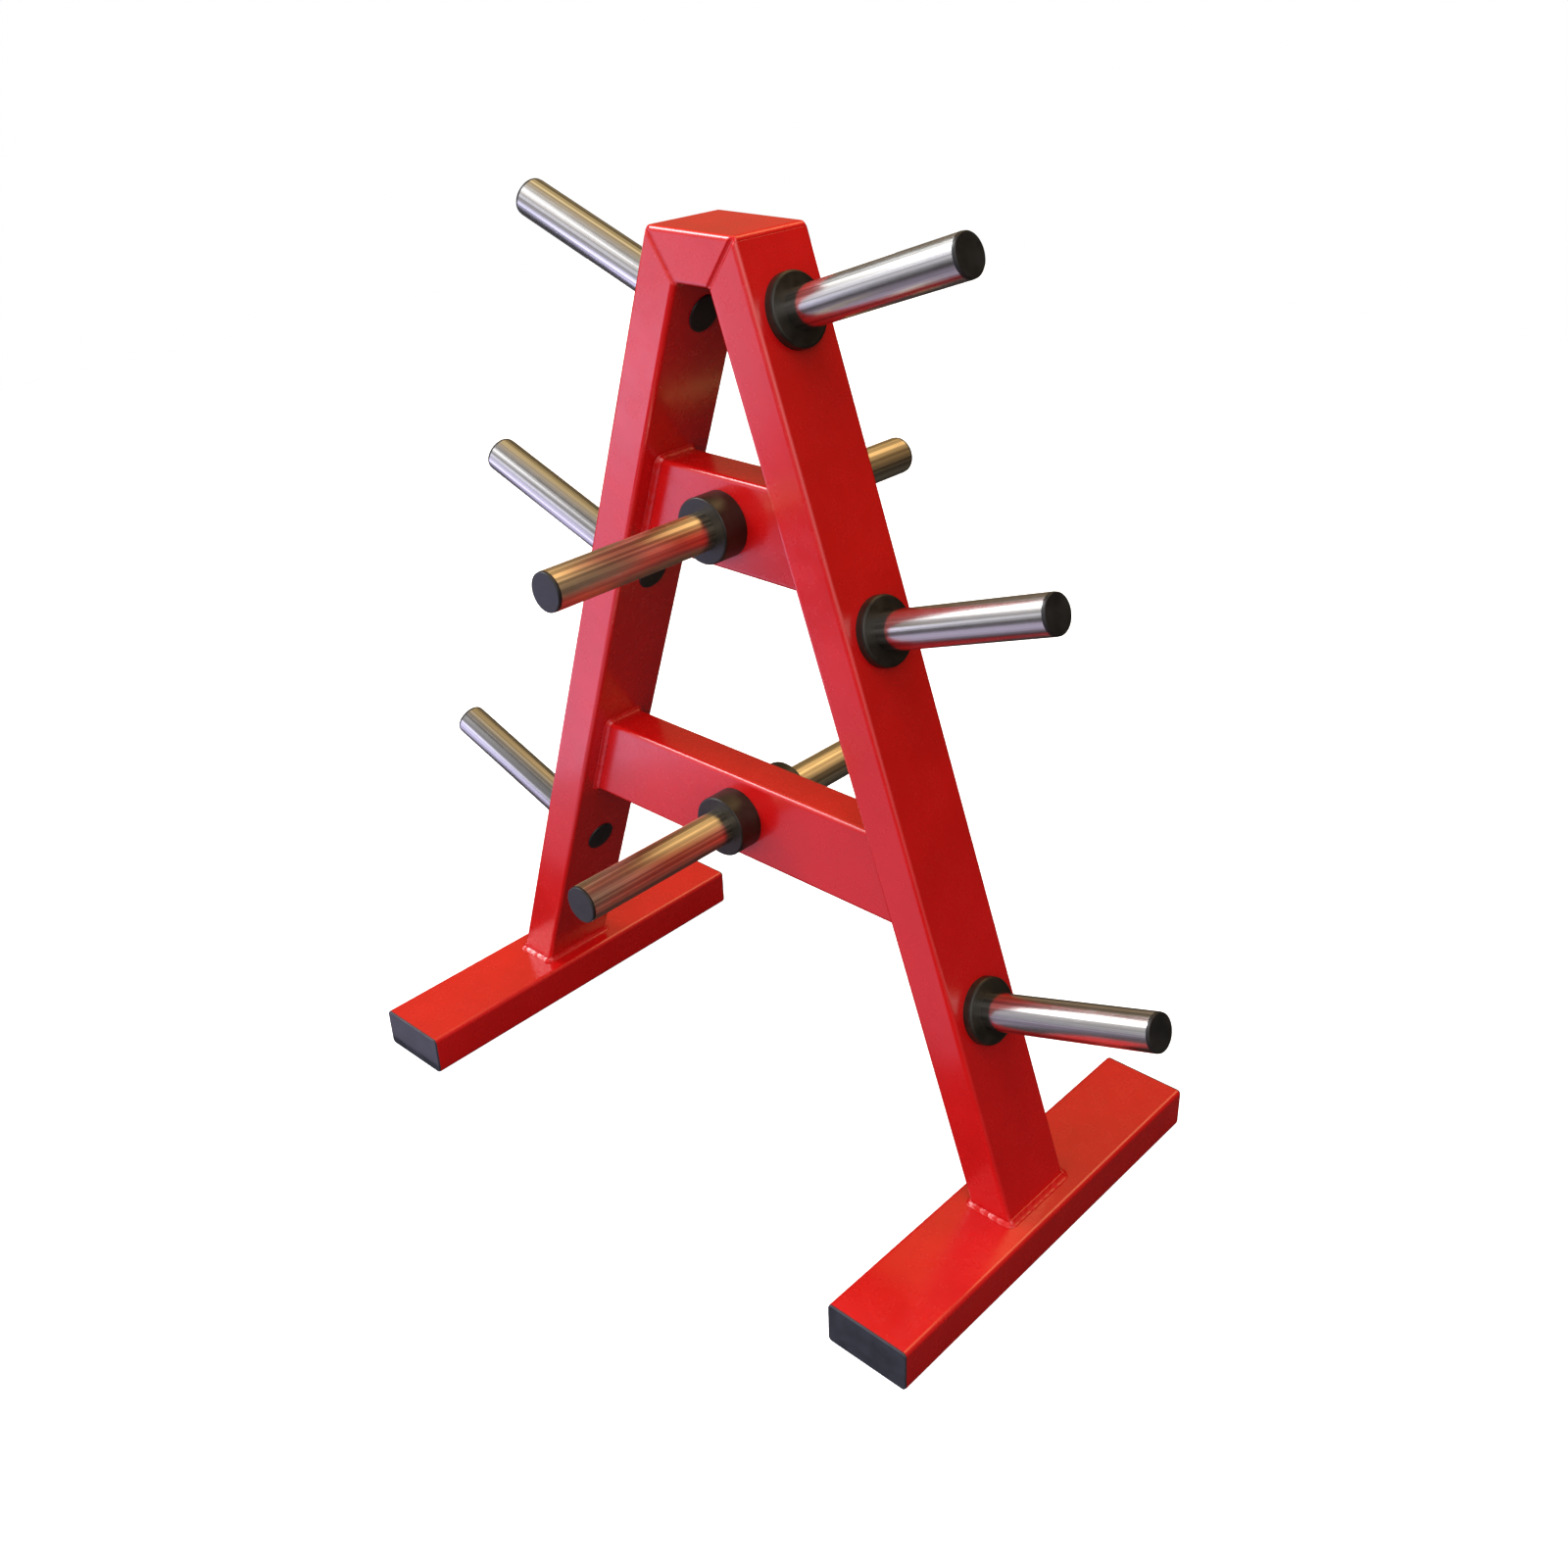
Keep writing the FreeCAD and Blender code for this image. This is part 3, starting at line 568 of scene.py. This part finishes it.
def add_mitre_bead(mesh, stations, turn, seed):
    """A closed bead round a mitre: a groove on its flat sides, a rounding at its corners."""
    runs = running_lengths([place for place, _ in stations])
    length = runs[-1]
    coarse = ripples(length, RIPPLE_PITCH, random.Random(seed))
    rings = []
    for run, (place, out) in zip(runs, stations):
        hollow = place - out * (MITRE_DEPTH * out.y**2)
        start = place + LEG_DOWN * MITRE_REACH
        end = place - X_AXIS * MITRE_REACH
        ring = []
        for j in range(MITRE_ACROSS + 1):
            share = j / MITRE_ACROSS
            arch = 4 * share * (1 - share)
            point = (1 - share) ** 2 * start + arch / 2 * hollow + share**2 * end
            scale = ripple_height(run + MITRE_LAG * RIPPLE_PITCH * arch, length, *coarse)
            ring.append(point + out * (MITRE_RIPPLE * arch * scale - MITRE_SINK))
        ring += [point - out * MITRE_BACK for point in (end, place, start)]
        rings.append([mesh.verts.new(turn @ point) for point in ring])
    close_rings(mesh, rings)


def close_rings(mesh, rings):
    for ring, after in zip(rings, rings[1:] + rings[:1]):
        for j in range(len(ring)):
            k = (j + 1) % len(ring)
            mesh.faces.new((ring[j], ring[k], after[k], after[j]))


def foot_stations():
    """Round the right leg where it stands on its foot."""
    low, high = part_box("right_leg")
    centre = Vector((high.x - TUBE_NARROW / 2 / math.cos(LEG_ANGLE), 0, low.z))
    stations = []
    for a, b, out_a, out_b in tube_outline(TUBE_NARROW, TUBE_WIDE):
        place = centre + X_AXIS * (a / math.cos(LEG_ANGLE)) + Y_AXIS * b
        stations.append((place, LEG_OUT * out_a + Y_AXIS * out_b, Z_AXIS))
    return stations


def beam_stations(beam):
    """Round the right end of a beam, on the right leg's inner face."""
    low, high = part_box(beam)
    leg_low, leg_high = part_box("right_leg")
    height = (low.z + high.z) / 2
    inner_foot = leg_high.x - TUBE_NARROW / math.cos(LEG_ANGLE)
    stations = []
    for a, b, out_a, out_b in tube_outline(TUBE_NARROW, TUBE_WIDE):
        z = height + b
        place = Vector((inner_foot - (z - leg_low.z) * math.tan(LEG_ANGLE), a, z))
        stations.append((place, Y_AXIS * out_a + Z_AXIS * out_b, -LEG_OUT))
    return stations


def mitre_stations():
    """Round the right mitre, in its own plane: places with their outward directions."""
    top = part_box("top_bar")[1].z
    low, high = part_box("right_leg")
    corner = Vector((high.x - (top - low.z) * math.tan(LEG_ANGLE), 0, top))
    across = (LEG_OUT + Z_AXIS).normalized()
    stretch = 1 / across.dot(LEG_OUT)
    centre = corner - across * (TUBE_NARROW / 2 * stretch)
    stations = []
    for a, b, out_a, out_b in tube_outline(TUBE_NARROW, TUBE_WIDE):
        place = centre + across * (a * stretch) + Y_AXIS * b
        stations.append((place, across * out_a + Y_AXIS * out_b))
    return stations


def half_turned(stations):
    """The same stations on the rack's left side."""
    return [tuple(HALF_TURN @ vector for vector in station) for station in stations]


def foot_form(out):
    """Short sides of the leg have big scales that stay low, long sides have fainter ones."""
    return FOOT_END_FORM if abs(out.y) > 0.7 else FOOT_SIDE_FORM


def beam_form(out):
    return BEAM_FORM


def make_beads(name, node, stations, form_at, paint, seed):
    mesh = bmesh.new()
    for i, loop in enumerate((stations, half_turned(stations))):
        add_bead(mesh, loop, form_at, seed + i)
    finish_beads(name, node, mesh, paint)


def make_mitre_beads(paint, seeds):
    mesh = bmesh.new()
    for turn, seed in zip((Matrix.Identity(3), HALF_TURN), seeds):
        add_mitre_bead(mesh, mitre_stations(), turn, seed)
    finish_beads("mitre_weld_beads", "mitre_welds", mesh, paint)


def finish_beads(name, node, mesh, paint):
    bmesh.ops.recalc_face_normals(mesh, faces=mesh.faces)
    for face in mesh.faces:
        face.smooth = True
    data = bpy.data.meshes.new(name)
    mesh.to_mesh(data)
    mesh.free()
    data.materials.append(paint)
    beads = bpy.data.objects.new(name, data)
    scene.collection.objects.link(beads)
    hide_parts(node)
    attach(beads, "root")


def make_welds(paint):
    make_beads("foot_weld_beads", "foot_welds", foot_stations(), foot_form, paint, seed=3)
    for beam, seed in (("upper_beam", 11), ("lower_beam", 19)):
        stations = beam_stations(beam)
        make_beads(f"{beam}_weld_beads", f"{beam}_welds", stations, beam_form, paint, seed)
    make_mitre_beads(paint, seeds=(29, 31))


make_camera()
make_world()
make_floor()
for light in LIGHTS:
    area_light(**light)
make_welds(paint_nodes())
scene.view_settings.view_transform = "Standard"
